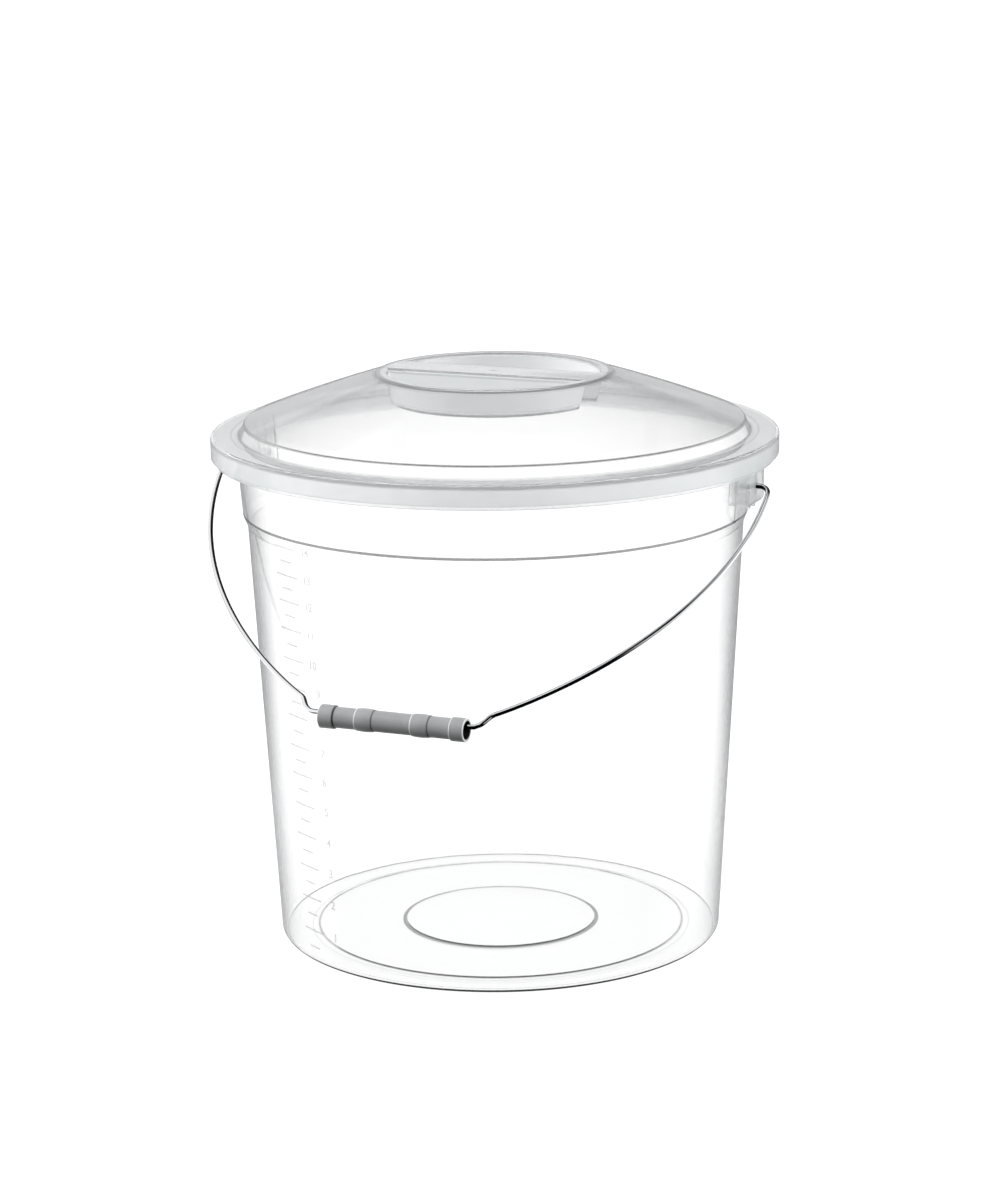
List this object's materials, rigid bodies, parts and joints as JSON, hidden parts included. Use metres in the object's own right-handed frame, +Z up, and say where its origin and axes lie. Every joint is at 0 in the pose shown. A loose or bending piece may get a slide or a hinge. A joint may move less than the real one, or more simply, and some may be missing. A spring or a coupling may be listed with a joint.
{
  "type": "bucket with lid",
  "caption": "Round clear plastic bucket with a domed lift-off lid, a steel wire bail that swings over it and a hollow grey grip.",
  "frame": {"origin": "middle of the base, on the plane that the bucket stands on", "axes": "+Z up along the bucket's axis, X through the two ears and their pin holes, -Y towards the side where the bail hangs"},
  "size_m": [0.3408, 0.3268, 0.3315],
  "materials": {
    "clear_bucket_plastic": "clear, slightly milky moulded polypropylene",
    "clear_lid_plastic": "clear, slightly milky moulded polypropylene",
    "bright_steel_wire": "bright zinc-plated drawn wire",
    "grey_grip_plastic": "matt light grey moulded plastic"
  },
  "bodies": {
    "bucket": {"bucket": "clear_bucket_plastic"},
    "lid": {"lid": "clear_lid_plastic"},
    "bail": {"bail": "bright_steel_wire"},
    "grip": {"grip": "grey_grip_plastic"}
  },
  "joints": [
    {"name": "bail_swing", "type": "hinge", "parent": "bucket", "child": "bail", "pos_m": [0, 0, 0.2746], "axis": [-1, 0, 0], "range_deg": [0, 256]},
    {"name": "grip_spin", "type": "hinge", "parent": "bail", "child": "grip", "pos_m": [-0.0007, -0.14507, 0.15909], "axis": [1, 0, 0], "continuous": true},
    {"name": "lid_lift", "type": "slide", "parent": "bucket", "child": "lid", "axis": [0, 0, 1], "range_m": [0, 0.06]}
  ]
}
